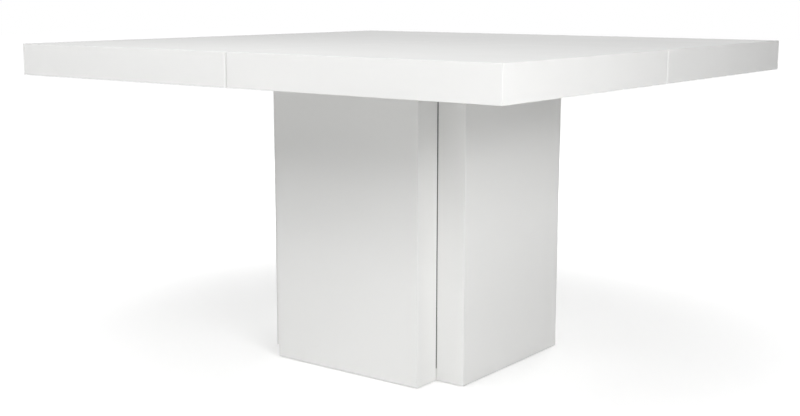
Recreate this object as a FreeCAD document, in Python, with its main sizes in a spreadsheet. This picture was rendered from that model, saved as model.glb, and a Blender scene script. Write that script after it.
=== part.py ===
import FreeCAD, Part
import math
import os
import re

import Sketcher

# Square dining table: four quarter panels on a pedestal of four upright panels.
# Millimetres. Origin on the floor under the middle of the table, Z up, front towards -Y.

SIZES = {
    # Overall size
    "table_width": 1300,
    "table_height": 755,
    "top_thickness": 72,
    "seam_gap": 0.1,
    "edge_radius": 1,
    "seam_edge_radius": 5,
    # Hollow-core panels
    "skin_thickness": 6,
    "liner_thickness": 6,
    "rail_width": 40,
    "cell_width": 48,
    "cell_wall": 1,
    "block_side": 170,
    # Pedestal
    "base_panel_width": 414,
    "base_panel_thickness": 73,
    "corner_gap": 1,
    "board_thickness": 28,
    "cleat_side": 24,
    "cleat_length": 300,
    "angle_leg": 40,
    "angle_thickness": 3,
    "angle_bend": 3,
    # Fits
    "fit_clearance": 0.1,
    # Bolts that hold the top
    "bolt_diameter": 8,
    "bolt_end_gap": 3.6,
    "bolt_head_diameter": 13,
    "bolt_head_height": 8,
    "bolt_socket": 6.9,
    "bolt_socket_depth": 4,
    "bolt_inset": 80,
    "bolt_spacing": 90,
    "washer_diameter": 22,
    "washer_thickness": 1.6,
    "insert_diameter": 12,
    "insert_length": 18,
    # Seam joints
    "dowel_diameter": 10,
    "dowel_length": 60,
    "dowel_chamfer": 1,
    "dowel_first": 150,
    "dowel_spacing": 150,
    "plate_length": 120,
    "plate_width": 84,
    "plate_thickness": 3,
    "plate_centre": 540,
    "plate_corner": 8,
    "plate_screw_along": 80,
    "plate_screw_across": 54,
    # Screws
    "screw_diameter": 4.5,
    "screw_head_diameter": 9,
    "screw_head_height": 2.4,
    "screw_tip": 5,
    "screw_slot_width": 1.1,
    "screw_slot_length": 4.6,
    "screw_slot_depth": 1.4,
    "short_screw_length": 25,
    "long_screw_length": 45,
    "cleat_screw_spacing": 220,
    "board_screw_spacing": 120,
    "angle_screw_inset": 24,
    "angle_screw_first": 100,
    "angle_screw_spacing": 160,
    # Floor glides
    "glide_height": 1.5,
    "glide_diameter": 24,
    "glide_spacing": 300,
    "glide_chamfer": 0.4,
    "nail_diameter": 2.5,
    "nail_length": 20,
    "nail_head_diameter": 6,
    "nail_head_height": 0.6,
    "nail_recess": 0.4,
}

# Sizes that follow from the driving ones
DERIVED = {
    "top_underside": "table_height - top_thickness",
    "quarter_near": "seam_gap / 2",
    "quarter_far": "table_width / 2",
    "shell_near": "quarter_near + skin_thickness",
    "shell_far": "quarter_far - skin_thickness",
    "core_near": "shell_near + rail_width",
    "core_far": "shell_far - rail_width",
    "top_depth": "top_thickness - skin_thickness - liner_thickness",
    "inner_face": "base_panel_width / 2 + corner_gap",
    "panel_side": "base_panel_width / 2 - skin_thickness",
    "stile_side": "panel_side - rail_width",
    "base_depth": "base_panel_thickness - skin_thickness - liner_thickness",
    "frame_back": "inner_face + liner_thickness + base_depth",
    "frame_bottom": "glide_height + skin_thickness",
    "frame_top": "top_underside - skin_thickness",
    "board_side": "inner_face - fit_clearance",
    "bottom_board_top": "glide_height + board_thickness",
    "top_board_bottom": "top_underside - board_thickness",
    "lower_cleat_middle": "bottom_board_top + cleat_side / 2",
    "upper_cleat_middle": "top_board_bottom - cleat_side / 2",
    "cleat_middle": "inner_face - cleat_side / 2",
    "screw_hole": "screw_diameter + 2 * fit_clearance",
    "dowel_hole": "dowel_diameter + 2 * fit_clearance",
    "bolt_hole": "bolt_diameter + 2 * fit_clearance",
    "insert_hole": "insert_diameter + 2 * fit_clearance",
    "nail_hole": "nail_diameter + 2 * fit_clearance",
    "plate_screw_reach": "short_screw_length - plate_thickness + fit_clearance",
    "angle_screw_reach": "short_screw_length - angle_thickness + fit_clearance",
    "cleat_screw_reach": "long_screw_length - cleat_side + fit_clearance",
    "upper_screw_reach": "long_screw_length - cleat_side + fit_clearance",
    "lower_screw_reach": "long_screw_length - board_thickness + fit_clearance",
    "bolt_length": "washer_thickness + board_thickness + liner_thickness + insert_length - bolt_end_gap",
    "nail_reach": "nail_recess + nail_length - glide_height + fit_clearance",
    "dowel_reach": "dowel_length / 2 + fit_clearance",
    "glide_line": "inner_face + base_panel_thickness / 2",
}

QUARTERS = {"back_right": 0, "back_left": 90, "front_left": 180, "front_right": 270}
CORNERS = {"front_right": 0, "back_right": 90, "back_left": 180, "front_left": 270}
SIDES = {"front": 0, "right": 90, "back": 180, "left": 270}
DOWELS_PER_SEAM = 3
SCREWS_PER_ANGLE_LEG = 4
SAME_PLACE = 1e-6
MOST_LEFT_BY_HOLLOWING = 0.9
UP = FreeCAD.Vector(0, 0, 1)
AXES = {
    "X": FreeCAD.Rotation(FreeCAD.Vector(0, 1, 0), 90),
    "Y": FreeCAD.Rotation(FreeCAD.Vector(1, 0, 0), -90),
    "-Y": FreeCAD.Rotation(FreeCAD.Vector(1, 0, 0), 90),
    "Z": FreeCAD.Rotation(),
}

doc = FreeCAD.newDocument("SquareDiningTable")
nodes = []


def write_sizes():
    """Put the driving sizes in a sheet, one named cell each."""
    sheet = doc.addObject("Spreadsheet::Sheet", "Sizes")
    for row, (name, value) in enumerate(SIZES.items(), start=1):
        sheet.set(f"A{row}", name)
        sheet.set(f"B{row}", str(value))
        sheet.setAlias(f"B{row}", name)
    doc.recompute()
    return sheet


def sized(text):
    """Turn words for sizes into an expression on the sheet."""
    def replace(match):
        word = match.group()
        if word in DERIVED:
            return "(" + sized(DERIVED[word]) + ")"
        return "Sizes." + word if word in SIZES else word
    return re.sub(r"[a-z_]+", replace, str(text))


def bind(target, prop, text):
    target.setExpression(prop, sized(text))


def place(target, x, y, z, axis="Z"):
    target.Placement = FreeCAD.Placement(FreeCAD.Vector(), AXES[axis])
    for letter, text in zip("xyz", (x, y, z)):
        bind(target, f"Placement.Base.{letter}", text)


def block(name, start, size):
    """A rectangular piece of wood from its lowest corner and its size."""
    piece = doc.addObject("Part::Box", name)
    for prop, text in zip(("Length", "Width", "Height"), size):
        bind(piece, prop, text)
    place(piece, *start)
    return piece


def bore(name, start, diameter, depth, axis="Z"):
    """A round hole that starts at a point and runs along an axis."""
    hole = doc.addObject("Part::Cylinder", name + "_bore")
    bind(hole, "Radius", f"({diameter}) / 2")
    bind(hole, "Height", depth)
    place(hole, *start, axis)
    return hole


def together(name, pieces):
    group = doc.addObject("Part::Compound", name)
    group.Links = pieces
    return group


def drilled(name, piece, bores):
    result = doc.addObject("Part::Cut", name)
    result.Base = piece
    result.Tool = together(name + "_bores", bores)
    return result


def finish(piece, name, angle=0, height="0"):
    """Name a finished sub-part and turn it to its side of the table."""
    piece.Label = name
    piece.Placement = FreeCAD.Placement(FreeCAD.Vector(), FreeCAD.Rotation(UP, angle))
    bind(piece, "Placement.Base.z", height)
    nodes.append(piece)


def plane(body, role):
    return next(item for item in body.Origin.OriginFeatures if item.Role == role)


def sketch_on(body, name, role, offset=("0", "0", "0")):
    """An empty sketch on one of the body's own planes, moved by an offset in that plane."""
    sketch = body.newObject("Sketcher::SketchObject", name)
    sketch.AttachmentSupport = [(plane(body, role), "")]
    sketch.MapMode = "FlatFace"
    for letter, text in zip("xyz", offset):
        bind(sketch, f"AttachmentOffset.Base.{letter}", text)
    return sketch


def outline(sketch, points):
    """A closed outline whose corners are tied to sizes."""
    count = len(points)
    turns = [2 * math.pi * number / count for number in range(count)]
    start = [FreeCAD.Vector(math.cos(turn), math.sin(turn), 0) for turn in turns]
    for number in range(count):
        sketch.addGeometry(Part.LineSegment(start[number], start[(number + 1) % count]))
    for number in range(count):
        sketch.addConstraint(Sketcher.Constraint("Coincident", number, 2, (number + 1) % count, 1))
    for number, texts in enumerate(points):
        for kind, line, text in zip(("DistanceX", "DistanceY"), (-2, -1), texts):
            if text == "0":
                sketch.addConstraint(Sketcher.Constraint("PointOnObject", number, 1, line))
                continue
            index = sketch.addConstraint(Sketcher.Constraint(kind, -1, 1, number, 1, 1.0))
            bind(sketch, f"Constraints[{index}]", text)


def rectangle(left, bottom, right, top):
    return [(left, bottom), (right, bottom), (right, top), (left, top)]


def pad(body, sketch, length):
    feature = body.newObject("PartDesign::Pad", sketch.Name + "_pad")
    feature.Profile = sketch
    bind(feature, "Length", length)
    doc.recompute()
    return feature


def rounded(body, feature, radius, chosen=lambda edge: True):
    """Round the chosen edges of the last feature of a body."""
    edges = [f"Edge{number}" for number, edge in enumerate(feature.Shape.Edges, start=1) if chosen(edge)]
    fillet = body.newObject("PartDesign::Fillet", feature.Name + "_round")
    fillet.Base = (feature, edges)
    bind(fillet, "Radius", radius)
    doc.recompute()
    return fillet


def hollow(body, sketch, depth):
    """Take the inside out of a casing, inwards from its open side."""
    solid = body.Shape.Volume
    feature = body.newObject("PartDesign::Pocket", sketch.Name + "_pocket")
    feature.Profile = sketch
    feature.Reversed = True
    bind(feature, "Length", depth)
    doc.recompute()
    if body.Shape.Volume > MOST_LEFT_BY_HOLLOWING * solid:
        raise RuntimeError(f"{body.Name}: the casing was not hollowed")


def upright(edge):
    first, last = edge.Vertexes[0].Point, edge.Vertexes[-1].Point
    return max(abs(first.x - last.x), abs(first.y - last.y)) < SAME_PLACE


def on_diagonal(edge):
    point = edge.Vertexes[0].Point
    return abs(point.x - point.y) < SAME_PLACE


def seam_end(edge):
    """True for an upright edge where a seam of the top comes out at the side."""
    return upright(edge) and not on_diagonal(edge)


def turned(name, role, axis, offset, profile):
    """A turned piece: a half profile on one of the body's planes, spun about its own axis."""
    body = doc.addObject("PartDesign::Body", name)
    sketch = sketch_on(body, name + "_profile", role, offset)
    outline(sketch, profile)
    spin = body.newObject("PartDesign::Revolution", name + "_spin")
    spin.Profile = sketch
    spin.ReferenceAxis = (sketch, [axis])
    spin.Angle = 360
    doc.recompute()
    return body


def cross_slot(body, role, offset):
    """A cross-shaped driver slot in the head of a screw."""
    across, up, along = offset
    sizes = ("screw_slot_length", "screw_slot_width")
    for number, (length, width) in enumerate((sizes, sizes[::-1])):
        slot = body.newObject("PartDesign::SubtractiveBox", f"{body.Name}_slot_{number}")
        slot.AttachmentSupport = [(plane(body, role), "")]
        slot.MapMode = "FlatFace"
        corner = (f"{across} - {length} / 2", f"{up} - {width} / 2", along)
        for letter, text in zip("xyz", corner):
            bind(slot, f"AttachmentOffset.Base.{letter}", text)
        bind(slot, "Length", length)
        bind(slot, "Width", width)
        bind(slot, "Height", "screw_slot_depth")
    doc.recompute()


def in_a_row(body, axis, length, count):
    row = body.newObject("PartDesign::LinearPattern", f"{body.Name}_row_{axis[0]}")
    row.TransformMode = "Whole shape"
    row.Direction = (plane(body, axis), [""])
    bind(row, "Length", length)
    row.Occurrences = count
    body.Tip = row
    doc.recompute()


def on_four_sides(body):
    ring = body.newObject("PartDesign::PolarPattern", body.Name + "_ring")
    ring.TransformMode = "Whole shape"
    ring.Axis = (plane(body, "Z_Axis"), [""])
    ring.Angle = 360
    ring.Occurrences = 4
    body.Tip = ring
    doc.recompute()
    finish(body, body.Name)


def bolt_spots():
    steps = ("bolt_inset", "bolt_inset + bolt_spacing")
    return [(x, y) for x in steps for y in steps]


def dowel_spots():
    return [f"dowel_first + {number} * dowel_spacing" for number in range(DOWELS_PER_SEAM)]


def plate_screw_spots():
    return [f"plate_centre {sign} plate_screw_along / 2" for sign in "-+"]


def angle_screw_heights():
    return [f"angle_screw_first + {number} * angle_screw_spacing" for number in range(SCREWS_PER_ANGLE_LEG)]


def both_ways(spacing):
    return [f"{sign}({spacing}) / 2" for sign in ("-", "")]


def countersink(name, start, axis="Z"):
    """The seat of a flat screw head."""
    seat = doc.addObject("Part::Cone", name + "_seat")
    bind(seat, "Radius1", "screw_head_diameter / 2 + fit_clearance")
    bind(seat, "Radius2", "screw_hole / 2")
    bind(seat, "Height", "screw_head_height")
    place(seat, *start, axis)
    return seat


def honeycomb(name, corners, pattern, spot, depth):
    """A net of six-sided paper cells inside an outline; spot puts a flat point in its place."""
    width, wall = pattern
    region = Part.Face(Part.makePolygon([spot(*corner) for corner in corners + corners[:1]]))
    left, bottom = (min(values) for values in zip(*corners))
    right, top = (max(values) for values in zip(*corners))
    radius = (width - wall) / math.sqrt(3)
    pitch = width * math.sqrt(3) / 2
    turns = [math.radians(30 + 60 * corner) for corner in range(7)]
    cells = []
    for row in range(int((top - bottom) / pitch) + 3):
        for column in range(int((right - left) / width) + 3):
            x = left + (column - 0.5 * (row % 2)) * width
            y = bottom + row * pitch
            ring = [spot(x + radius * math.cos(turn), y + radius * math.sin(turn)) for turn in turns]
            cells.append(Part.Face(Part.makePolygon(ring)))
    net = max(region.cut(Part.makeCompound(cells)).Faces, key=lambda face: face.Area)
    core = doc.addObject("Part::Feature", name)
    core.Shape = net.extrude(depth)
    return core


def quarter_casing(name, angle):
    """Lacquered board, folded down on four sides and open below."""
    body = doc.addObject("PartDesign::Body", name + "_shell")
    outer = sketch_on(body, name + "_outline", "XY_Plane")
    outline(outer, rectangle("quarter_near", "quarter_near", "quarter_far", "quarter_far"))
    eased = rounded(body, pad(body, outer, "top_thickness"), "seam_edge_radius", seam_end)
    rounded(body, eased, "edge_radius", lambda edge: not upright(edge) or on_diagonal(edge))
    inner = sketch_on(body, name + "_inside", "XY_Plane")
    outline(inner, rectangle("shell_near", "shell_near", "shell_far", "shell_far"))
    hollow(body, inner, "top_thickness - skin_thickness")
    bores = []
    for spot in dowel_spots():
        bores.append(bore(name, ("0", spot, "top_thickness / 2"), "dowel_hole", "dowel_reach", "X"))
        bores.append(bore(name, (spot, "0", "top_thickness / 2"), "dowel_hole", "dowel_reach", "Y"))
    finish(drilled(name, body, bores), name, angle, "top_underside")


def quarter_underside(name, angle):
    """Flat board that closes the casing from below."""
    start = "shell_near + fit_clearance"
    side = "shell_far - shell_near - 2 * fit_clearance"
    board = block(name + "_blank", (start, start, "0"), (side, side, "liner_thickness"))
    bores = [bore(name, (x, y, "0"), "bolt_hole", "liner_thickness") for x, y in bolt_spots()]
    for spot in plate_screw_spots():
        for x, y in (("plate_screw_across / 2", spot), (spot, "plate_screw_across / 2")):
            bores.append(bore(name, (x, y, "0"), "screw_hole", "liner_thickness"))
    finish(drilled(name, board, bores), name, angle, "top_underside")


def quarter_frame(name, angle):
    """Four glued rails round the inside of the casing; the two at the seams take the dowels."""
    long, short = "shell_far - shell_near", "core_far - core_near"
    floor = "liner_thickness"
    seam_a = block(name + "_seam_a", ("shell_near", "shell_near", floor), ("rail_width", long, "top_depth"))
    seam_b = block(name + "_seam_b", ("core_near", "shell_near", floor), (short, "rail_width", "top_depth"))
    edge_a = block(name + "_edge_a", ("core_far", "shell_near", floor), ("rail_width", long, "top_depth"))
    edge_b = block(name + "_edge_b", ("core_near", "core_far", floor), (short, "rail_width", "top_depth"))
    bores_a, bores_b = [], []
    for spot in dowel_spots():
        bores_a.append(bore(name, ("0", spot, "top_thickness / 2"), "dowel_hole", "dowel_reach", "X"))
        bores_b.append(bore(name, (spot, "0", "top_thickness / 2"), "dowel_hole", "dowel_reach", "Y"))
    for spot in plate_screw_spots():
        middle = "plate_screw_across / 2"
        bores_a.append(bore(name, (middle, spot, "0"), "screw_hole", "plate_screw_reach"))
        bores_b.append(bore(name, (spot, middle, "0"), "screw_hole", "plate_screw_reach"))
    rails = [drilled(name + "_rail_a", seam_a, bores_a), drilled(name + "_rail_b", seam_b, bores_b)]
    finish(together(name, rails + [edge_a, edge_b]), name, angle, "top_underside")


def quarter_block(name, angle):
    """Solid block over the pedestal that holds the threaded inserts."""
    near = "core_near"
    blank = block(name + "_blank", (near, near, "liner_thickness"), ("block_side", "block_side", "top_depth"))
    bores = [bore(name, (x, y, "liner_thickness"), "insert_hole", "insert_length") for x, y in bolt_spots()]
    finish(drilled(name, blank, bores), name, angle, "top_underside")


def quarter_core(name, angle, sheet):
    """Paper honeycomb that fills the frame round the fixing block."""
    skin, liner = sheet.get("skin_thickness"), sheet.get("liner_thickness")
    near = sheet.get("seam_gap") / 2 + skin + sheet.get("rail_width")
    far = sheet.get("table_width") / 2 - skin - sheet.get("rail_width")
    step = near + sheet.get("block_side")
    corners = [(step, near), (far, near), (far, far), (near, far), (near, step), (step, step)]
    depth = sheet.get("top_thickness") - skin - liner
    core = honeycomb(name, corners, (sheet.get("cell_width"), sheet.get("cell_wall")),
                     lambda x, y: FreeCAD.Vector(x, y, liner), UP * depth)
    finish(core, name, angle, "top_underside")


def panel_casing(name, angle):
    """Lacquered board, folded back on four sides and open towards the inside of the pedestal."""
    body = doc.addObject("PartDesign::Body", name + "_shell")
    inside = ("0", "0", "inner_face")
    half = "base_panel_width / 2"
    outer = sketch_on(body, name + "_outline", "XZ_Plane", inside)
    outline(outer, rectangle(f"-{half}", "glide_height", half, "top_underside"))
    rounded(body, pad(body, outer, "base_panel_thickness"), "edge_radius")
    inner = sketch_on(body, name + "_inside", "XZ_Plane", inside)
    outline(inner, rectangle("-panel_side", "frame_bottom", "panel_side", "frame_top"))
    hollow(body, inner, "base_panel_thickness - skin_thickness")
    bores = [bore(name, (x, "-glide_line", "glide_height"), "nail_hole", "skin_thickness")
             for x in both_ways("glide_spacing")]
    finish(drilled(name, body, bores), name, angle)


def panel_screw_bores(name, depth, angle_screws, cleat_heights):
    """Screw holes that run outwards from the inner face of an upright panel."""
    start = f"-inner_face - {depth}"
    bores = []
    if angle_screws:
        for x in both_ways("2 * (inner_face - angle_screw_inset)"):
            for z in angle_screw_heights():
                bores.append(bore(name, (x, start, z), "screw_hole", depth, "Y"))
        return bores
    for x in both_ways("cleat_screw_spacing"):
        for z in cleat_heights:
            bores.append(bore(name, (x, start, z), "screw_hole", depth, "Y"))
    return bores


def panel_liner(name, angle):
    """Flat board that closes the upright panel on the inside."""
    start = ("-panel_side + fit_clearance", "-inner_face - liner_thickness", "frame_bottom + fit_clearance")
    size = ("2 * panel_side - 2 * fit_clearance", "liner_thickness",
            "frame_top - frame_bottom - 2 * fit_clearance")
    bores = panel_screw_bores(name, "liner_thickness", True, [])
    bores += panel_screw_bores(name, "liner_thickness", False, ["lower_cleat_middle", "upper_cleat_middle"])
    finish(drilled(name, block(name + "_blank", start, size), bores), name, angle)


def panel_frame(name, angle):
    """Two stiles and two rails glued inside the upright panel."""
    back = "-frame_back"
    stile_size = ("rail_width", "base_depth", "frame_top - frame_bottom")
    rail_size = ("2 * stile_side", "base_depth", "rail_width")
    stiles = together(name + "_stile_pair", [
        block(name + "_stile_a", ("-panel_side", back, "frame_bottom"), stile_size),
        block(name + "_stile_b", ("stile_side", back, "frame_bottom"), stile_size)])
    lower = block(name + "_lower", ("-stile_side", back, "frame_bottom"), rail_size)
    upper = block(name + "_upper", ("-stile_side", back, "frame_top - rail_width"), rail_size)
    stile_bores = panel_screw_bores(name, "angle_screw_reach", True, [])
    lower_bores = panel_screw_bores(name, "cleat_screw_reach", False, ["lower_cleat_middle"])
    lower_bores += [bore(name, (x, "-glide_line", "glide_height"), "nail_hole", "nail_reach")
                    for x in both_ways("glide_spacing")]
    upper_bores = panel_screw_bores(name, "cleat_screw_reach", False, ["upper_cleat_middle"])
    pieces = [drilled(name + "_stiles", stiles, stile_bores),
              drilled(name + "_lower_rail", lower, lower_bores),
              drilled(name + "_upper_rail", upper, upper_bores)]
    finish(together(name, pieces), name, angle)


def panel_core(name, angle, sheet):
    """Paper honeycomb that fills the frame of an upright panel."""
    skin, liner = sheet.get("skin_thickness"), sheet.get("liner_thickness")
    rail = sheet.get("rail_width")
    half = sheet.get("base_panel_width") / 2 - skin - rail
    bottom = sheet.get("glide_height") + skin + rail
    top = sheet.get("table_height") - sheet.get("top_thickness") - skin - rail
    corners = [(-half, bottom), (half, bottom), (half, top), (-half, top)]
    depth = sheet.get("base_panel_thickness") - skin - liner
    inner = sheet.get("base_panel_width") / 2 + sheet.get("corner_gap") + liner
    core = honeycomb(name, corners, (sheet.get("cell_width"), sheet.get("cell_wall")),
                     lambda x, z: FreeCAD.Vector(x, -inner, z), FreeCAD.Vector(0, -depth, 0))
    finish(core, name, angle)


def pedestal_board(name, bottom):
    """Square board inside the pedestal with its corners cut off behind the slots."""
    body = doc.addObject("PartDesign::Body", name + "_blank")
    sketch = sketch_on(body, name + "_outline", "XY_Plane", ("0", "0", bottom))
    far, near = "board_side", "(board_side - corner_gap)"
    outline(sketch, [(near, f"-{far}"), (far, f"-{near}"), (far, near), (near, far),
                     (f"-{near}", far), (f"-{far}", near), (f"-{far}", f"-{near}"), (f"-{near}", f"-{far}")])
    pad(body, sketch, "board_thickness")
    return body


def board_screw_spots():
    spots = []
    for along in both_ways("board_screw_spacing"):
        for side in ("-cleat_middle", "cleat_middle"):
            spots += [(along, side), (side, along)]
    return spots


def top_board(name):
    blank = pedestal_board(name, "top_board_bottom")
    bores = []
    for x, y in bolt_spots():
        for first in (f"-({x})", x):
            for second in (f"-({y})", y):
                bores.append(bore(name, (first, second, "top_board_bottom"), "bolt_hole", "board_thickness"))
    bores += [bore(name, (x, y, "top_board_bottom"), "screw_hole", "upper_screw_reach")
              for x, y in board_screw_spots()]
    finish(drilled(name, blank, bores), name)


def bottom_board(name):
    blank = pedestal_board(name, "glide_height")
    bores = []
    for x, y in board_screw_spots():
        bores.append(bore(name, (x, y, "glide_height"), "screw_hole", "board_thickness"))
        bores.append(countersink(name, (x, y, "glide_height")))
    finish(drilled(name, blank, bores), name)


def cleats(name, bottom, upper):
    """Four battens screwed to the upright panels, under the top board or over the bottom board."""
    pieces = []
    for side, angle in SIDES.items():
        label = f"{name}_{side}"
        blank = block(label + "_blank", ("-cleat_length / 2", "-inner_face", bottom),
                      ("cleat_length", "cleat_side", "cleat_side"))
        bores = []
        for x in both_ways("cleat_screw_spacing"):
            middle = f"{bottom} + cleat_side / 2"
            bores.append(bore(label, (x, "-inner_face", middle), "screw_hole", "cleat_side", "Y"))
            bores.append(countersink(label, (x, "cleat_side - inner_face", middle), "-Y"))
        for x in both_ways("board_screw_spacing"):
            depth = "cleat_side" if upper else "lower_screw_reach"
            bores.append(bore(label, (x, "-cleat_middle", bottom), "screw_hole", depth))
            if upper:
                bores.append(countersink(label, (x, "-cleat_middle", bottom)))
        piece = drilled(label, blank, bores)
        piece.Placement = FreeCAD.Placement(FreeCAD.Vector(), FreeCAD.Rotation(UP, angle))
        pieces.append(piece)
    finish(together(name, pieces), name)


def corner_angle(name, angle):
    """Bent steel angle behind the slot between two upright panels."""
    body = doc.addObject("PartDesign::Body", name + "_bent")
    sketch = sketch_on(body, name + "_outline", "XY_Plane", ("0", "0", "bottom_board_top"))
    out, step, leg = "inner_face", "(inner_face - angle_thickness)", "(inner_face - angle_leg)"
    outline(sketch, [(out, f"-{out}"), (out, f"-{leg}"), (step, f"-{leg}"), (step, f"-{step}"),
                     (leg, f"-{step}"), (leg, f"-{out}")])
    solid = pad(body, sketch, "top_board_bottom - bottom_board_top")
    far = max(edge.Vertexes[0].X for edge in solid.Shape.Edges)
    thickness = doc.Sizes.get("angle_thickness")

    def at(edge, reach):
        point = edge.Vertexes[0].Point
        return upright(edge) and max(abs(point.x - reach), abs(point.y + reach)) < SAME_PLACE

    outer = rounded(body, solid, "angle_thickness + angle_bend", lambda edge: at(edge, far))
    rounded(body, outer, "angle_bend", lambda edge: at(edge, far - thickness))
    bores = []
    for z in angle_screw_heights():
        across = "inner_face - angle_screw_inset"
        bores.append(bore(name, (across, "-inner_face", z), "screw_hole", "angle_thickness", "Y"))
        bores.append(bore(name, ("inner_face - angle_thickness", f"-({across})", z),
                          "screw_hole", "angle_thickness", "X"))
    finish(drilled(name, body, bores), name, angle)


def seam_plate(name, angle):
    """Flat steel plate under a seam, screwed to the two quarter panels that meet there."""
    bottom = "top_underside - plate_thickness"
    body = doc.addObject("PartDesign::Body", name + "_blank")
    sketch = sketch_on(body, name + "_outline", "XY_Plane", ("0", "0", bottom))
    outline(sketch, rectangle("-plate_width / 2", "-plate_centre - plate_length / 2",
                              "plate_width / 2", "-plate_centre + plate_length / 2"))
    rounded(body, pad(body, sketch, "plate_thickness"), "plate_corner", upright)
    bores = []
    for x in both_ways("plate_screw_across"):
        for spot in plate_screw_spots():
            bores.append(bore(name, (x, f"-({spot})", bottom), "screw_hole", "plate_thickness"))
            bores.append(countersink(name, (x, f"-({spot})", bottom)))
    finish(drilled(name, body, bores), name, angle)


def flat_head_profile(length, sign=""):
    """Half profile of a wood screw with a flat head, from the head to the tip."""
    tip = f"{sign}({length} - screw_tip)"
    return [("0", "0"), ("screw_head_diameter / 2", "0"), ("screw_diameter / 2", f"{sign}screw_head_height"),
            ("screw_diameter / 2", tip), ("0", f"{sign}{length}")]


def ring_profile(inner, outer, height):
    return [(inner, "0"), (outer, "0"), (outer, height), (inner, height)]


def at_each_bolt(body):
    in_a_row(body, "X_Axis", "bolt_spacing", 2)
    in_a_row(body, "Y_Axis", "bolt_spacing", 2)
    on_four_sides(body)


def top_bolts(name):
    head = "top_board_bottom - washer_thickness - bolt_head_height"
    shank, end = "bolt_diameter / 2", "bolt_head_height + bolt_length"
    body = turned(name, "XZ_Plane", "V_Axis", ("bolt_inset", head, "-bolt_inset"), [
        ("0", "0"), ("bolt_head_diameter / 2", "0"), ("bolt_head_diameter / 2", "bolt_head_height"),
        (shank, "bolt_head_height"), (shank, end), ("0", end)])
    socket = body.newObject("PartDesign::SubtractivePrism", name + "_socket")
    socket.AttachmentSupport = [(plane(body, "XY_Plane"), "")]
    socket.MapMode = "FlatFace"
    for letter, text in zip("xyz", ("bolt_inset", "bolt_inset", head)):
        bind(socket, f"AttachmentOffset.Base.{letter}", text)
    socket.Polygon = 6
    bind(socket, "Circumradius", "bolt_socket / 2")
    bind(socket, "Height", "bolt_socket_depth")
    at_each_bolt(body)


def top_bolt_washers(name):
    at_each_bolt(turned(name, "XZ_Plane", "V_Axis",
                        ("bolt_inset", "top_board_bottom - washer_thickness", "-bolt_inset"),
                        ring_profile("bolt_hole / 2", "washer_diameter / 2", "washer_thickness")))


def threaded_inserts(name):
    at_each_bolt(turned(name, "XZ_Plane", "V_Axis",
                        ("bolt_inset", "top_underside + liner_thickness", "-bolt_inset"),
                        ring_profile("bolt_hole / 2", "insert_diameter / 2", "insert_length")))


def seam_dowels(name):
    half, radius, end = "dowel_length / 2", "dowel_diameter / 2", "(dowel_diameter / 2 - dowel_chamfer)"
    flat = "(dowel_length / 2 - dowel_chamfer)"
    body = turned(name, "XY_Plane", "H_Axis", ("0", "dowel_first", "top_underside + top_thickness / 2"), [
        (f"-{half}", "0"), (f"-{half}", end), (f"-{flat}", radius), (flat, radius), (half, end), (half, "0")])
    in_a_row(body, "Y_Axis", f"{DOWELS_PER_SEAM - 1} * dowel_spacing", DOWELS_PER_SEAM)
    on_four_sides(body)


def seam_plate_screws(name):
    x, y = "-plate_screw_across / 2", "plate_centre - plate_screw_along / 2"
    bottom = "top_underside - plate_thickness"
    body = turned(name, "XZ_Plane", "V_Axis", (x, bottom, f"-({y})"), flat_head_profile("short_screw_length"))
    cross_slot(body, "XY_Plane", (x, y, bottom))
    in_a_row(body, "X_Axis", "plate_screw_across", 2)
    in_a_row(body, "Y_Axis", "plate_screw_along", 2)
    on_four_sides(body)


def board_screws(name):
    x, y = "-board_screw_spacing / 2", "-cleat_middle"
    body = turned(name, "XZ_Plane", "V_Axis", (x, "glide_height", "cleat_middle"),
                  flat_head_profile("long_screw_length"))
    cross_slot(body, "XY_Plane", (x, y, "glide_height"))
    in_a_row(body, "X_Axis", "board_screw_spacing", 2)
    in_a_row(body, "Z_Axis", "top_board_bottom - cleat_side - glide_height", 2)
    on_four_sides(body)


def cleat_screws(name):
    x, head = "-cleat_screw_spacing / 2", "(cleat_side - inner_face)"
    body = turned(name, "XY_Plane", "V_Axis", (x, head, "lower_cleat_middle"),
                  flat_head_profile("long_screw_length", "-"))
    cross_slot(body, "XZ_Plane", (x, "lower_cleat_middle", f"-{head}"))
    in_a_row(body, "X_Axis", "cleat_screw_spacing", 2)
    in_a_row(body, "Z_Axis", "upper_cleat_middle - lower_cleat_middle", 2)
    on_four_sides(body)


def corner_angle_screws(name):
    x, face = "(angle_screw_inset - inner_face)", "(angle_thickness - inner_face)"
    head, crown = "screw_head_diameter / 2", "screw_head_height"
    body = turned(name, "XY_Plane", "V_Axis", (x, face, "angle_screw_first"), [
        ("0", crown), (f"{head} - {crown} / 2", crown), (head, f"{crown} / 2"), (head, "0"),
        ("screw_diameter / 2", "0"), ("screw_diameter / 2", "-(short_screw_length - screw_tip)"),
        ("0", "-short_screw_length")])
    cross_slot(body, "XZ_Plane", (x, "angle_screw_first", f"-{face} - {crown}"))
    in_a_row(body, "X_Axis", "2 * (inner_face - angle_screw_inset)", 2)
    in_a_row(body, "Z_Axis", f"{SCREWS_PER_ANGLE_LEG - 1} * angle_screw_spacing", SCREWS_PER_ANGLE_LEG)
    on_four_sides(body)


def floor_glides(name):
    wide, narrow = "(nail_head_diameter / 2 + fit_clearance)", "nail_hole / 2"
    rim, step = "glide_diameter / 2", "nail_recess + nail_head_height"
    body = turned(name, "XZ_Plane", "V_Axis", ("-glide_spacing / 2", "0", "glide_line"), [
        (wide, "0"), (f"{rim} - glide_chamfer", "0"), (rim, "glide_chamfer"), (rim, "glide_height"),
        (narrow, "glide_height"), (narrow, step), (wide, step)])
    in_a_row(body, "X_Axis", "glide_spacing", 2)
    on_four_sides(body)


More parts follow.
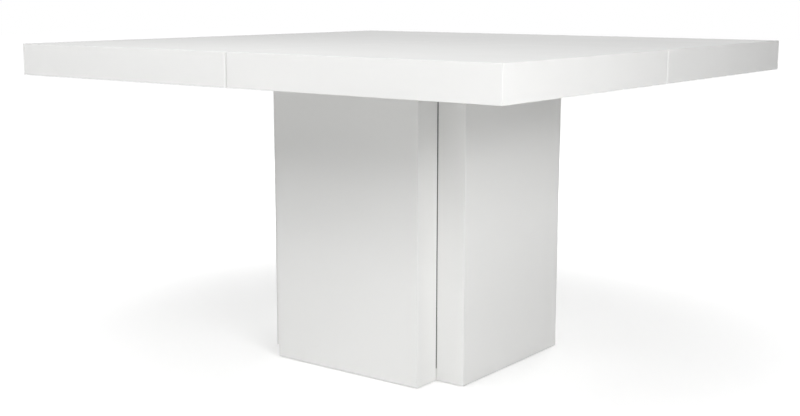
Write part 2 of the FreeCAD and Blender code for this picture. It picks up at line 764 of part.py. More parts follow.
def glide_nails(name):
    head, shank = "nail_head_diameter / 2", "nail_diameter / 2"
    body = turned(name, "XZ_Plane", "V_Axis", ("-glide_spacing / 2", "nail_recess", "glide_line"), [
        ("0", "0"), (head, "0"), (head, "nail_head_height"), (shank, "nail_head_height"),
        (shank, "nail_length - nail_diameter"), ("0", "nail_length")])
    in_a_row(body, "X_Axis", "glide_spacing", 2)
    on_four_sides(body)


def export():
    """Check every object, then write each sub-part to a file of its own."""
    doc.recompute()
    for item in doc.Objects:
        if {"Invalid", "Error"} & set(item.State):
            raise RuntimeError(f"{item.Label} could not be built")
    os.makedirs("parts", exist_ok=True)
    for piece in nodes:
        if piece.Shape.isNull() or not piece.Shape.isValid() or not piece.Shape.Solids:
            raise RuntimeError(f"{piece.Label} has no valid shape")
        piece.Shape.exportStep(f"parts/{piece.Label}.step")


def build():
    sheet = write_sizes()
    for corner, angle in QUARTERS.items():
        quarter_casing(f"top_{corner}_casing", angle)
        quarter_underside(f"top_{corner}_underside", angle)
        quarter_frame(f"top_{corner}_frame", angle)
        quarter_block(f"top_{corner}_fixing_block", angle)
        quarter_core(f"top_{corner}_honeycomb", angle, sheet)
    for side, angle in SIDES.items():
        panel_casing(f"base_{side}_casing", angle)
        panel_liner(f"base_{side}_liner", angle)
        panel_frame(f"base_{side}_frame", angle)
        panel_core(f"base_{side}_honeycomb", angle, sheet)
        seam_plate(f"seam_plate_{side}", angle)
    for corner, angle in CORNERS.items():
        corner_angle(f"corner_angle_{corner}", angle)
    top_board("top_board")
    bottom_board("bottom_board")
    cleats("top_cleats", "(top_board_bottom - cleat_side)", True)
    cleats("bottom_cleats", "bottom_board_top", False)
    for fasteners in (top_bolts, top_bolt_washers, threaded_inserts, seam_dowels, seam_plate_screws,
                      board_screws, cleat_screws, corner_angle_screws, floor_glides, glide_nails):
        fasteners(fasteners.__name__)
    export()


build()
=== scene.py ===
import math
from typing import NamedTuple

import bmesh
import bpy
from mathutils import Euler, Matrix, Vector


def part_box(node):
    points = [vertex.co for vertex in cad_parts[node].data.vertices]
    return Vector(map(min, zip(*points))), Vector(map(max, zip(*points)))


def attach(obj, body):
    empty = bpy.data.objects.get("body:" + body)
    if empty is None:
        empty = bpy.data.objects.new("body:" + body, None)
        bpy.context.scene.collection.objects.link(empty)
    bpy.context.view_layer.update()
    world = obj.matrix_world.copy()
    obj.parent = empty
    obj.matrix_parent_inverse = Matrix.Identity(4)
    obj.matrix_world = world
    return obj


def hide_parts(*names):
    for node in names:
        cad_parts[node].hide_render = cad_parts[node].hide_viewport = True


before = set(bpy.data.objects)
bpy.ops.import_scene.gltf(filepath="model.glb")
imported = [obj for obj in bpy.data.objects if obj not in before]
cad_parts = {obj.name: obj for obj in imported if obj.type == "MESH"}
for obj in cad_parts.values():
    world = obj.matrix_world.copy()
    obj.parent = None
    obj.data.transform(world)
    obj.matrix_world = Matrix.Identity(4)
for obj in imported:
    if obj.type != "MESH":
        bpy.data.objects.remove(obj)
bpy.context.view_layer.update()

bl_info = {
    "name": "Square dining table",
    "version": (1, 0, 0),
    "blender": (4, 5, 0),
    "location": "3D View > Sidebar > Table",
    "description": "Gloss white finish, hidden materials and studio for a square pedestal table",
    "category": "Object",
}

# Corners of the top, and sides of the pedestal with the way that each upright panel is open
QUARTERS = ("front_right", "back_right", "back_left", "front_left")
OPEN_SIDES = {"front": (0, 1, 0), "right": (-1, 0, 0), "back": (0, -1, 0), "left": (1, 0, 0)}
SIDES = tuple(OPEN_SIDES)
DOWN = (0, 0, -1)

# Edges that turn more than this are sharp, and faces that lean more than this are rounded edges
SHARP_ANGLE = math.radians(30.0)
FLAT_LEAN = math.radians(1.0)

# Points nearer than this, in metres, are one place
SAME_PLACE = 1e-6

# How much a large face outweighs a small one in the shading of a softened edge
FACE_WEIGHT = 100

# Coat of the lacquer: on the faces, where it drifts between two weights, and rubbed thin on the edges
COAT_LOW = 0.28
COAT_HIGH = 0.34
COAT_RUBBED = 0.2

# Heights of the bumps, in metres
RIPPLE_DEPTH = 0.0002
GRAIN_DEPTH = 0.0004
PLATING_DEPTH = 0.0001

# How far the roughness of a fibrous surface drifts either way
ROUGHNESS_DRIFT = 0.06

# The photograph's camera: place and clip in metres, angles in degrees, lens and sensor in millimetres
CAMERA_PLACE = (1.7488, -2.4047, 0.8704)
CAMERA_HEADING = 36.8205
CAMERA_DIP = 9.9434
CAMERA_TILT = 0.0955
CAMERA_LENS = 55.16
CAMERA_SENSOR = 36.0
CAMERA_CLIP = 200.0

# The floor is a square grid with this many cells along a side
FLOOR_CELLS = 8

WHITE = (1.0, 1.0, 1.0, 1.0)

# Point that the soft boxes stand round, near the middle of the table
MIDDLE = (0.0, 0.0, 0.4)


class SoftBox(NamedTuple):
    """A lamp placed by angles from +X and the floor in degrees, with sizes in metres and power in watts."""

    name: str
    azimuth: float
    elevation: float
    power: float
    width: float
    height: float
    distance: float = 3.6
    aim: tuple = MIDDLE


SOFT_BOXES = (
    SoftBox("right_box", azimuth=-30, elevation=26, power=43.8, width=1.6, height=1.4),
    SoftBox("side_box", azimuth=-15, elevation=20, power=6.9, width=0.7, height=0.7, distance=4.0),
    SoftBox("front_left_box", azimuth=-98, elevation=35, power=13.5, width=1.2, height=1.2),
    SoftBox("front_right_box", azimuth=-72, elevation=33, power=11.9, width=1.2, height=1.2),
    SoftBox("left_box", azimuth=-125, elevation=40, power=23.4, width=0.8, height=0.8, distance=4.0),
    SoftBox("back_box", azimuth=90, elevation=30, power=51.9, width=2.4, height=2.0),
    SoftBox("back_left_box", azimuth=135, elevation=30, power=14.4, width=2.4, height=2.0),
    SoftBox("corner_fill", azimuth=-30, elevation=16, power=5.9, width=0.6, height=0.6, distance=2.3,
            aim=(0.65, -0.3, 0.65)),
    SoftBox("edge_fill", azimuth=-114, elevation=18, power=2.8, width=1.0, height=1.0, distance=2.3,
            aim=(-0.2, -0.65, 0.7)),
    SoftBox("top_fill", azimuth=-90, elevation=57, power=4.0, width=0.8, height=0.8, distance=1.66,
            aim=(-0.1, -0.3, 0.755)),
    SoftBox("low_front_fill", azimuth=-75, elevation=4, power=6.4, width=1.0, height=0.6, distance=3.4,
            aim=(0.0, -0.2, 0.3)),
    SoftBox("low_back_fill", azimuth=90, elevation=0, power=10.0, width=2.4, height=0.5, distance=3.2),
    SoftBox("low_left_fill", azimuth=180, elevation=0, power=20.0, width=2.4, height=0.5, distance=3.2),
)


class LacquerSettings(bpy.types.PropertyGroup):
    """Sizes and colour of the gloss white casings."""

    colour: bpy.props.FloatVectorProperty(
        name="Colour", description="Colour of the white lacquer", subtype="COLOR", size=3,
        min=0.0, max=1.0, default=(0.84, 0.84, 0.83))
    arris_radius: bpy.props.FloatProperty(
        name="Arris radius", description="Radius that softens the edges of a panel",
        unit="LENGTH", subtype="DISTANCE", min=0.0005, max=0.005, default=0.001)
    seam_radius: bpy.props.FloatProperty(
        name="Seam radius", description="Radius of the upright edges where a seam comes out at the side",
        unit="LENGTH", subtype="DISTANCE", min=0.0005, max=0.0055, default=0.005)
    arris_steps: bpy.props.IntProperty(
        name="Arris steps", description="Flat steps round each softened edge", min=2, max=12, default=6)
    skin: bpy.props.FloatProperty(
        name="Skin", description="Thickness of the folded board of a casing",
        unit="LENGTH", subtype="DISTANCE", min=0.003, max=0.02, default=0.006)


class HiddenSettings(bpy.types.PropertyGroup):
    """Colours of the boards, timber, paper and fittings behind the lacquer."""

    board: bpy.props.FloatVectorProperty(
        name="White board", description="Coated boards under the top and pedestal", subtype="COLOR", size=3,
        min=0.0, max=1.0, default=(0.72, 0.72, 0.7))
    fibre: bpy.props.FloatVectorProperty(
        name="Fibreboard", description="Raw fibreboard", subtype="COLOR", size=3,
        min=0.0, max=1.0, default=(0.33, 0.2, 0.1))
    timber: bpy.props.FloatVectorProperty(
        name="Softwood", description="Frames and cleats", subtype="COLOR", size=3,
        min=0.0, max=1.0, default=(0.58, 0.38, 0.18))
    paper: bpy.props.FloatVectorProperty(
        name="Core paper", description="Brown paper of the honeycomb", subtype="COLOR", size=3,
        min=0.0, max=1.0, default=(0.4, 0.25, 0.12))
    zinc: bpy.props.FloatVectorProperty(
        name="Zinc", description="Plated plates, bolts, screws and nails", subtype="COLOR", size=3,
        min=0.0, max=1.0, default=(0.58, 0.59, 0.6))
    coated: bpy.props.FloatVectorProperty(
        name="Dark coating", description="Coating of the corner angles", subtype="COLOR", size=3,
        min=0.0, max=1.0, default=(0.1, 0.1, 0.104))
    beech: bpy.props.FloatVectorProperty(
        name="Beech", description="Dowels", subtype="COLOR", size=3,
        min=0.0, max=1.0, default=(0.6, 0.38, 0.2))
    glide: bpy.props.FloatVectorProperty(
        name="Glides", description="Floor glides", subtype="COLOR", size=3,
        min=0.0, max=1.0, default=(0.72, 0.72, 0.69))


class StageSettings(bpy.types.PropertyGroup):
    """Floor and light of the studio."""

    floor: bpy.props.FloatVectorProperty(
        name="Floor", description="Colour of the floor", subtype="COLOR", size=3,
        min=0.0, max=1.0, default=(0.86, 0.86, 0.86))
    floor_side: bpy.props.FloatProperty(
        name="Floor side", description="Side of the square floor",
        unit="LENGTH", subtype="DISTANCE", min=4.0, max=60.0, default=40.0)
    floor_lift: bpy.props.FloatProperty(
        name="Floor lift", description="How much whiter the camera sees the floor",
        min=0.0, max=1.0, default=0.239)
    white_from: bpy.props.FloatProperty(
        name="White from", description="Distance at which the floor starts to fade into the backdrop",
        unit="LENGTH", subtype="DISTANCE", min=0.0, max=20.0, default=0.5)
    white_to: bpy.props.FloatProperty(
        name="White to", description="Distance at which the floor is as white as the backdrop",
        unit="LENGTH", subtype="DISTANCE", min=0.5, max=30.0, default=2.1)
    ambient: bpy.props.FloatProperty(
        name="Ambient", description="Light from all round", min=0.0, max=2.0, default=0.04)


# Shader nodes and node groups

def set_constants(node, values):
    """Set the named inputs of a node; an underscore in a name stands for a space."""
    for label, value in values.items():
        node.inputs[label.replace("_", " ")].default_value = value


def add_node(tree, kind, options=None, **values):
    """A new node with its options and then the constants on its inputs."""
    node = tree.nodes.new(kind)
    for option, choice in (options or {}).items():
        setattr(node, option, choice)
    set_constants(node, values)
    return node


def connect(tree, *pairs):
    """Link each output to the input beside it."""
    for output, entry in pairs:
        tree.links.new(output, entry)


def new_group(name, inputs, outputs):
    """An empty node group with named float or vector inputs and float outputs."""
    tree = bpy.data.node_groups.new(name, "ShaderNodeTree")
    for label, default in inputs.items():
        kind = "NodeSocketVector" if isinstance(default, tuple) else "NodeSocketFloat"
        tree.interface.new_socket(label, in_out="INPUT", socket_type=kind).default_value = default
    for label in outputs:
        tree.interface.new_socket(label, in_out="OUTPUT", socket_type="NodeSocketFloat")
    return tree, tree.nodes.new("NodeGroupInput"), tree.nodes.new("NodeGroupOutput")


def mottle_group(name):
    """Slow, soft drift of a value between a low and a high limit."""
    tree, entry, out = new_group(
        name, {"Vector": (0, 0, 0), "Scale": 3.0, "Low": 0.0, "High": 1.0}, ["Value"])
    noise = add_node(tree, "ShaderNodeTexNoise", Detail=3.0)
    spread = add_node(tree, "ShaderNodeMapRange", From_Min=0.3, From_Max=0.7)
    connect(tree,
            (entry.outputs["Vector"], noise.inputs["Vector"]),
            (entry.outputs["Scale"], noise.inputs["Scale"]),
            (noise.outputs["Fac"], spread.inputs["Value"]),
            (entry.outputs["Low"], spread.inputs["To Min"]),
            (entry.outputs["High"], spread.inputs["To Max"]),
            (spread.outputs["Result"], out.inputs["Value"]))
    return tree


def grain_group(name):
    """Fibres or pores drawn out along one direction, as a mask and a height."""
    tree, entry, out = new_group(
        name, {"Vector": (0, 0, 0), "Stretch": (1, 1, 1), "Scale": 50.0}, ["Mask", "Height"])
    draw = add_node(tree, "ShaderNodeVectorMath", {"operation": "MULTIPLY"})
    fibres = add_node(tree, "ShaderNodeTexNoise", Detail=6.0, Roughness=0.65, Distortion=0.4)
    spread = add_node(tree, "ShaderNodeMapRange", From_Min=0.35, From_Max=0.68)
    connect(tree,
            (entry.outputs["Vector"], draw.inputs[0]),
            (entry.outputs["Stretch"], draw.inputs[1]),
            (draw.outputs["Vector"], fibres.inputs["Vector"]),
            (entry.outputs["Scale"], fibres.inputs["Scale"]),
            (fibres.outputs["Fac"], spread.inputs["Value"]),
            (spread.outputs["Result"], out.inputs["Mask"]),
            (fibres.outputs["Fac"], out.inputs["Height"]))
    return tree


def ripple_group(name):
    """Fine ripple that a sprayed coat dries with."""
    tree, entry, out = new_group(name, {"Vector": (0, 0, 0), "Scale": 300.0}, ["Height"])
    ripple = add_node(tree, "ShaderNodeTexNoise", Detail=1.0)
    connect(tree,
            (entry.outputs["Vector"], ripple.inputs["Vector"]),
            (entry.outputs["Scale"], ripple.inputs["Scale"]),
            (ripple.outputs["Fac"], out.inputs["Height"]))
    return tree


GROUP_MAKERS = {"soft_mottle": mottle_group, "fine_grain": grain_group, "spray_ripple": ripple_group}


def shared_group(name):
    """The node group of that name, made the first time that a material asks for it."""
    return bpy.data.node_groups.get(name) or GROUP_MAKERS[name](name)


# Materials

class Finish:
    """A material under construction: its colour, its node tree, its shader and ways to add to them."""

    def __init__(self, name, colour):
        self.material = bpy.data.materials.new(name)
        self.material.use_nodes = True
        self.colour = tuple(colour)
        self.tree = self.material.node_tree
        self.shader = self.tree.nodes["Principled BSDF"]
        self.place = self.tree.nodes.new("ShaderNodeTexCoord").outputs["Object"]

    def fixed(self, **values):
        """Constants on the shader's own sockets."""
        set_constants(self.shader, values)

    def feed(self, output, label):
        """Link an output to one of the shader's sockets."""
        self.tree.links.new(output, self.shader.inputs[label])

    def group(self, name, **values):
        """One of the shared groups, with values of its own."""
        node = add_node(self.tree, "ShaderNodeGroup", {"node_tree": shared_group(name)}, **values)
        self.tree.links.new(self.place, node.inputs["Vector"])
        return node

    def mottle(self, scale, low=0.0, high=1.0):
        """A value that drifts slowly over the surface between two limits."""
        return self.group("soft_mottle", Scale=scale, Low=low, High=high).outputs["Value"]

    def tint(self, mask, dark):
        """Base colour that runs from a darker share of the colour to the colour as the mask rises."""
        shade = tuple(channel * dark for channel in self.colour)
        mix = add_node(self.tree, "ShaderNodeMix", {"data_type": "RGBA"},
                       A=(*shade, 1.0), B=(*self.colour, 1.0))
        self.tree.links.new(mask, mix.inputs["Factor"])
        self.feed(mix.outputs["Result"], "Base Color")

    def bump(self, height, strength, depth):
        """Relief on the surface, from a height between 0 and 1."""
        node = add_node(self.tree, "ShaderNodeBump", Strength=strength, Distance=depth)
        self.tree.links.new(height, node.inputs["Height"])
        self.feed(node.outputs["Normal"], "Normal")


def known(name, maker):
    """The material of that name, made the first time that a piece asks for it."""
    return bpy.data.materials.get(name) or maker(name)


def lacquer_finish(name):
    """Sprayed and polished white lacquer with a faint ripple, its coat rubbed thin along the edges."""
    finish = Finish(name, bpy.context.scene.table_lacquer.colour)
    finish.tint(finish.mottle(scale=2.4), dark=0.985)
    finish.feed(finish.mottle(scale=6.0, low=0.3, high=0.4), "Roughness")
    rubbed = add_node(finish.tree, "ShaderNodeAttribute", {"attribute_name": "arris"})
    coat = add_node(finish.tree, "ShaderNodeMix", B=COAT_RUBBED)
    connect(finish.tree,
            (rubbed.outputs["Fac"], coat.inputs["Factor"]),
            (finish.mottle(scale=3.0, low=COAT_LOW, high=COAT_HIGH), coat.inputs["A"]))
    finish.feed(coat.outputs["Result"], "Coat Weight")
    ripple = finish.group("spray_ripple", Scale=260.0)
    finish.bump(ripple.outputs["Height"], strength=0.05, depth=RIPPLE_DEPTH)
    finish.fixed(Coat_Roughness=0.03, Coat_IOR=1.5, Specular_IOR_Level=0.0)
    return finish.material


def grained_finish(name, colour, scale, stretch, dark, rough, relief):
    """A matt fibrous surface: board, timber, paper or dowel."""
    finish = Finish(name, colour)
    grain = finish.group("fine_grain", Scale=scale, Stretch=stretch)
    finish.tint(grain.outputs["Mask"], dark)
    finish.feed(finish.mottle(9.0, rough - ROUGHNESS_DRIFT, rough + ROUGHNESS_DRIFT), "Roughness")
    finish.bump(grain.outputs["Height"], relief, GRAIN_DEPTH)
    return finish.material


def board_finish(name):
    return grained_finish(name, bpy.context.scene.table_hidden.board, scale=420.0, stretch=(1, 1, 1),
                          dark=0.93, rough=0.45, relief=0.08)


def fibre_finish(name):
    return grained_finish(name, bpy.context.scene.table_hidden.fibre, scale=300.0, stretch=(1, 1, 1.6),
                          dark=0.7, rough=0.8, relief=0.3)


def timber_finish(name):
    return grained_finish(name, bpy.context.scene.table_hidden.timber, scale=40.0, stretch=(1, 1, 6),
                          dark=0.72, rough=0.68, relief=0.25)


def paper_finish(name):
    return grained_finish(name, bpy.context.scene.table_hidden.paper, scale=240.0, stretch=(1, 1, 0.4),
                          dark=0.75, rough=0.88, relief=0.3)


def beech_finish(name):
    return grained_finish(name, bpy.context.scene.table_hidden.beech, scale=160.0, stretch=(0.4, 0.4, 2),
                          dark=0.7, rough=0.6, relief=0.2)


def zinc_finish(name):
    """Plated steel with a crystal spangle and soft smears."""
    finish = Finish(name, bpy.context.scene.table_hidden.zinc)
    spangle = add_node(finish.tree, "ShaderNodeTexVoronoi", Scale=160.0)
    finish.tree.links.new(finish.place, spangle.inputs["Vector"])
    finish.tint(spangle.outputs["Color"], dark=0.82)
    finish.feed(finish.mottle(scale=40.0, low=0.28, high=0.45), "Roughness")
    brushing = finish.group("fine_grain", Scale=300.0, Stretch=(1, 6, 1))
    finish.bump(brushing.outputs["Height"], strength=0.08, depth=PLATING_DEPTH)
    finish.fixed(Metallic=1.0)
    return finish.material


def sprayed_finish(name, colour, smooth, rough, relief):
    """Powder coat or moulded plastic: an even colour with a fine ripple."""
    finish = Finish(name, colour)
    finish.tint(finish.mottle(scale=14.0), dark=0.9)
    finish.feed(finish.mottle(30.0, smooth, rough), "Roughness")
    ripple = finish.group("spray_ripple", Scale=700.0)
    finish.bump(ripple.outputs["Height"], relief, RIPPLE_DEPTH)
    return finish.material


def coated_finish(name):
    return sprayed_finish(name, bpy.context.scene.table_hidden.coated, smooth=0.42, rough=0.55, relief=0.25)


def glide_finish(name):
    return sprayed_finish(name, bpy.context.scene.table_hidden.glide, smooth=0.48, rough=0.6, relief=0.12)


# Meshes

def hollow_out(shape, opening, skin, depth, inner):
    """Push the face on the open side in, inside a rim as wide as the skin is thick."""
    shape.normal_update()
    mouth = max(shape.faces, key=lambda face: face.normal.dot(opening))
    bmesh.ops.inset_region(shape, faces=[mouth], thickness=skin, use_even_offset=True)
    for corner in mouth.verts:
        corner[inner] = 1.0
    grown = bmesh.ops.extrude_face_region(shape, geom=[mouth])["geom"]
    bmesh.ops.delete(shape, geom=[mouth], context="FACES_ONLY")
    bottom = [item for item in grown if isinstance(item, bmesh.types.BMVert)]
    bmesh.ops.translate(shape, vec=-opening * depth, verts=bottom)


def soften(shape, edges, radius):
    """Round the edges off."""
    bmesh.ops.bevel(shape, geom=edges, offset=radius, offset_type="OFFSET", profile=0.5, affect="EDGES",
                    segments=bpy.context.scene.table_lacquer.arris_steps, material=-1)
    shape.normal_update()


def seam_end(edge):
    """True for an upright edge of a quarter panel where a seam comes out at the side of the table."""
    first, last = (corner.co for corner in edge.verts)
    return (first - last).xy.length < SAME_PLACE and abs(abs(first.x) - abs(first.y)) > SAME_PLACE


def mark_surface(shape, name, arris):
    """Smooth the faces between sharp edges, and mark the faces that lie on a rounded edge."""
    bmesh.ops.recalc_face_normals(shape, faces=shape.faces)
    for face in shape.faces:
        face.smooth = True
        face[arris] = float(max(map(abs, face.normal)) < math.cos(FLAT_LEAN))
    for edge in shape.edges:
        if not edge.is_manifold:
            raise RuntimeError(f"{name} is not closed")
        edge.smooth = edge.calc_face_angle() < SHARP_ANGLE


def casing_mesh(name, low, high, opening, eased):
    """A folded board casing: a box hollowed from its open side, with softened outer edges."""
    settings = bpy.context.scene.table_lacquer
    opening = Vector(opening)
    shape = bmesh.new()
    arris = shape.faces.layers.float.new("arris")
    inner = shape.verts.layers.float.new("inner")
    bmesh.ops.create_cube(shape, size=1.0)
    bmesh.ops.scale(shape, vec=high - low, verts=shape.verts)
    bmesh.ops.translate(shape, vec=(low + high) / 2, verts=shape.verts)
    hollow_out(shape, opening, settings.skin, abs((high - low).dot(opening)) - settings.skin, inner)

    def outer_edges():
        return [edge for edge in shape.edges if not all(corner[inner] for corner in edge.verts)]

    soften(shape, [edge for edge in outer_edges() if eased(edge)], settings.seam_radius)
    sharp = [edge for edge in outer_edges() if edge.calc_face_angle() > SHARP_ANGLE]
    soften(shape, sharp, settings.arris_radius)
    mark_surface(shape, name, arris)
    shape.verts.layers.float.remove(inner)
    mesh = bpy.data.meshes.new(name)
    shape.to_mesh(mesh)
    shape.free()
    return mesh


def lacquered_piece(node, name, opening, eased=lambda edge: False):
    """A casing piece that stands for a CAD casing, in gloss white."""
    mesh = casing_mesh(name, *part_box(node), opening, eased)
    piece = bpy.data.objects.new(name, mesh)
    bpy.context.scene.collection.objects.link(piece)
    mesh.materials.append(known("gloss_white_lacquer", lacquer_finish))
    weighting = piece.modifiers.new("even_faces", "WEIGHTED_NORMAL")
    weighting.mode = "FACE_AREA"
    weighting.weight = FACE_WEIGHT
    weighting.keep_sharp = True
    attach(piece, "root")
    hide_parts(node)


def dress(names, material):
    """Give CAD nodes that keep their own shape a finished material."""
    for name in names:
        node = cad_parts[name]
        if not node.material_slots:
            raise RuntimeError(f"{name} has no material slot")
        for place in node.material_slots:
            place.material = material


# Studio

def seen_rays(tree):
    """1 on rays that show the backdrop: to the camera, in a reflection or through glass."""
    path = tree.nodes.new("ShaderNodeLightPath")
    total = path.outputs["Is Camera Ray"]
    for kind in ("Is Glossy Ray", "Is Transmission Ray"):
        step = add_node(tree, "ShaderNodeMath", {"operation": "MAXIMUM"})
        connect(tree, (total, step.inputs[0]), (path.outputs[kind], step.inputs[1]))
        total = step.outputs["Value"]
    return total


def backdrop_glow(finish, settings):
    """Glow that the camera sees on the floor, stronger away from the table, up to the backdrop's white."""
    tree = finish.tree
    reach = add_node(tree, "ShaderNodeVectorMath", {"operation": "LENGTH"})
    fade = add_node(tree, "ShaderNodeMapRange", {"interpolation_type": "SMOOTHSTEP"},
                    From_Min=settings.white_from, From_Max=settings.white_to, To_Min=settings.floor_lift)
    lift = add_node(tree, "ShaderNodeMath", {"operation": "MULTIPLY"})
    glow = add_node(tree, "ShaderNodeEmission")
    connect(tree,
            (finish.place, reach.inputs[0]),
            (reach.outputs["Value"], fade.inputs["Value"]),
            (seen_rays(tree), lift.inputs[0]),
            (fade.outputs["Result"], lift.inputs[1]),
            (lift.outputs["Value"], glow.inputs["Strength"]))
    return glow.outputs["Emission"]


def floor_material(settings):
    """Pale floor that the camera sees run into the white backdrop; clear from below."""
    finish = Finish("pale_floor", settings.floor)
    finish.tint(finish.mottle(scale=0.6), dark=0.99)
    finish.fixed(Roughness=0.9, Specular_IOR_Level=0.0)
    tree = finish.tree
    both = add_node(tree, "ShaderNodeAddShader")
    side = add_node(tree, "ShaderNodeNewGeometry")
    clear = add_node(tree, "ShaderNodeBsdfTransparent")
    sided = add_node(tree, "ShaderNodeMixShader")
    connect(tree,
            (finish.shader.outputs["BSDF"], both.inputs[0]),
            (backdrop_glow(finish, settings), both.inputs[1]),
            (side.outputs["Backfacing"], sided.inputs["Fac"]),
            (both.outputs["Shader"], sided.inputs[1]),
            (clear.outputs["BSDF"], sided.inputs[2]),
            (sided.outputs["Shader"], tree.nodes["Material Output"].inputs["Surface"]))
    return finish.material


def make_floor(settings):
    """A flat square floor under the table."""
    mesh = bpy.data.meshes.new("studio_floor")
    shape = bmesh.new()
    bmesh.ops.create_grid(shape, x_segments=FLOOR_CELLS, y_segments=FLOOR_CELLS,
                          size=settings.floor_side / 2)
    shape.to_mesh(mesh)
    shape.free()
    mesh.materials.append(floor_material(settings))
    floor = bpy.data.objects.new("studio_floor", mesh)
    bpy.context.scene.collection.objects.link(floor)


def make_world(settings):
    """White for the camera and for reflections, a plain soft light for everything else."""
    world = bpy.data.worlds.new("studio_world")
    world.use_nodes = True
    tree = world.node_tree
    background = tree.nodes["Background"]
    background.inputs["Color"].default_value = WHITE
    level = add_node(tree, "ShaderNodeMix", A=settings.ambient, B=1.0)
    connect(tree,
            (seen_rays(tree), level.inputs["Factor"]),
            (level.outputs["Result"], background.inputs["Strength"]))
    bpy.context.scene.world = world


def make_soft_box(box):
    """A soft lamp; the gloss shows the white backdrop and not the lamp's own outline."""
    light = bpy.data.lights.new(box.name, "AREA")
    light.shape = "RECTANGLE"
    light.size = box.width
    light.size_y = box.height
    light.energy = box.power
    turn = Euler((0.0, math.radians(-box.elevation), math.radians(box.azimuth)))
    place = Vector(MIDDLE) + turn.to_matrix() @ Vector((box.distance, 0.0, 0.0))
    lamp = bpy.data.objects.new(box.name, light)
    lamp.location = place
    lamp.rotation_euler = (Vector(box.aim) - place).to_track_quat("-Z", "Y").to_euler()
    lamp.visible_glossy = False
    bpy.context.scene.collection.objects.link(lamp)


def make_camera():
    """The camera at the photograph's viewing angle."""
    data = bpy.data.cameras.new("photo_camera")
    data.sensor_width = CAMERA_SENSOR
    data.lens = CAMERA_LENS
    data.clip_end = CAMERA_CLIP
    camera = bpy.data.objects.new("photo_camera", data)
    aim = Euler((math.radians(90.0 - CAMERA_DIP), 0.0, math.radians(CAMERA_HEADING))).to_matrix()
    tilt = Matrix.Rotation(math.radians(CAMERA_TILT), 3, "Z")
    camera.matrix_world = Matrix.Translation(CAMERA_PLACE) @ (aim @ tilt).to_4x4()
    bpy.context.scene.collection.objects.link(camera)
    bpy.context.scene.camera = camera


# Operators

class QuarterPanels(bpy.types.Operator):
    """Build the four lacquered quarter panels of the top"""

    bl_idname = "dining_table.quarter_panels"
    bl_label = "Quarter panels"

    def execute(self, context):
        for corner in QUARTERS:
            lacquered_piece(f"top_{corner}_casing", f"quarter_panel_{corner}", DOWN, seam_end)
        return {"FINISHED"}


class UprightPanels(bpy.types.Operator):
    """Build the four lacquered upright panels of the pedestal"""

    bl_idname = "dining_table.upright_panels"
    bl_label = "Upright panels"

    def execute(self, context):
        for side in SIDES:
            lacquered_piece(f"base_{side}_casing", f"upright_panel_{side}", OPEN_SIDES[side])
        return {"FINISHED"}


class Boards(bpy.types.Operator):
    """Finish the coated and raw boards that close the panels and the pedestal"""

    bl_idname = "dining_table.boards"
    bl_label = "Boards"

    def execute(self, context):
        coated = [f"top_{corner}_underside" for corner in QUARTERS] + ["bottom_board"]
        raw = [f"base_{side}_liner" for side in SIDES] + ["top_board"]
        raw += [f"top_{corner}_fixing_block" for corner in QUARTERS]
        dress(coated, known("coated_white_board", board_finish))
        dress(raw, known("raw_fibreboard", fibre_finish))
        return {"FINISHED"}


class Timber(bpy.types.Operator):
    """Finish the frames and cleats in softwood and the dowels in beech"""

    bl_idname = "dining_table.timber"
    bl_label = "Frames, cleats and dowels"

    def execute(self, context):
        frames = [f"top_{corner}_frame" for corner in QUARTERS] + [f"base_{side}_frame" for side in SIDES]
        dress(frames + ["top_cleats", "bottom_cleats"], known("planed_softwood", timber_finish))
        dress(["seam_dowels"], known("turned_beech", beech_finish))
        return {"FINISHED"}


class PaperCores(bpy.types.Operator):
    """Finish the honeycomb cores in brown paper"""

    bl_idname = "dining_table.paper_cores"
    bl_label = "Paper cores"

    def execute(self, context):
        cores = [f"top_{corner}_honeycomb" for corner in QUARTERS]
        cores += [f"base_{side}_honeycomb" for side in SIDES]
        dress(cores, known("brown_core_paper", paper_finish))
        return {"FINISHED"}


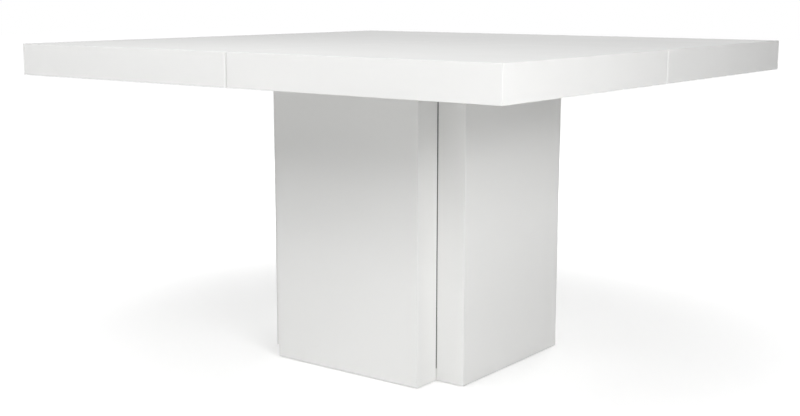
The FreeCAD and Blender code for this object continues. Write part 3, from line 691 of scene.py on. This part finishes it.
class SteelFittings(bpy.types.Operator):
    """Finish the plates, bolts, screws and nails in zinc and the corner angles in dark coating"""

    bl_idname = "dining_table.steel_fittings"
    bl_label = "Steel fittings"

    def execute(self, context):
        plated = [f"seam_plate_{side}" for side in SIDES]
        plated += ["top_bolts", "top_bolt_washers", "threaded_inserts", "seam_plate_screws", "board_screws",
                   "cleat_screws", "corner_angle_screws", "glide_nails"]
        dress(plated, known("zinc_plating", zinc_finish))
        dress([f"corner_angle_{corner}" for corner in QUARTERS], known("dark_powder_coat", coated_finish))
        return {"FINISHED"}


class FloorGlides(bpy.types.Operator):
    """Finish the floor glides in moulded plastic"""

    bl_idname = "dining_table.floor_glides"
    bl_label = "Floor glides"

    def execute(self, context):
        dress(["floor_glides"], known("moulded_glide", glide_finish))
        return {"FINISHED"}


class Studio(bpy.types.Operator):
    """Set up the pale floor, the soft light, the white backdrop and the camera"""

    bl_idname = "dining_table.studio"
    bl_label = "Studio"

    def execute(self, context):
        settings = context.scene.table_stage
        make_floor(settings)
        make_world(settings)
        for box in SOFT_BOXES:
            make_soft_box(box)
        make_camera()
        context.scene.view_settings.view_transform = "Standard"
        return {"FINISHED"}


SETTINGS = {"table_lacquer": LacquerSettings, "table_hidden": HiddenSettings, "table_stage": StageSettings}
OPERATORS = (QuarterPanels, UprightPanels, Boards, Timber, PaperCores, SteelFittings, FloorGlides, Studio)


class TablePanel(bpy.types.Panel):
    """Sidebar list of the table's pieces and settings"""

    bl_idname = "VIEW3D_PT_dining_table"
    bl_label = "Square dining table"
    bl_space_type = "VIEW_3D"
    bl_region_type = "UI"
    bl_category = "Table"

    def draw(self, context):
        for name, group in SETTINGS.items():
            column = self.layout.column()
            for label in group.__annotations__:
                column.prop(getattr(context.scene, name), label)
        for operator in OPERATORS:
            self.layout.operator(operator.bl_idname)


CLASSES = (*SETTINGS.values(), *OPERATORS, TablePanel)


def register():
    for item in CLASSES:
        bpy.utils.register_class(item)
    for name, group in SETTINGS.items():
        setattr(bpy.types.Scene, name, bpy.props.PointerProperty(type=group))


def unregister():
    for name in SETTINGS:
        delattr(bpy.types.Scene, name)
    for item in reversed(CLASSES):
        bpy.utils.unregister_class(item)


def main():
    register()
    bpy.ops.dining_table.quarter_panels()
    bpy.ops.dining_table.upright_panels()
    bpy.ops.dining_table.boards()
    bpy.ops.dining_table.timber()
    bpy.ops.dining_table.paper_cores()
    bpy.ops.dining_table.steel_fittings()
    bpy.ops.dining_table.floor_glides()
    bpy.ops.dining_table.studio()


if __name__ == "__main__":
    main()
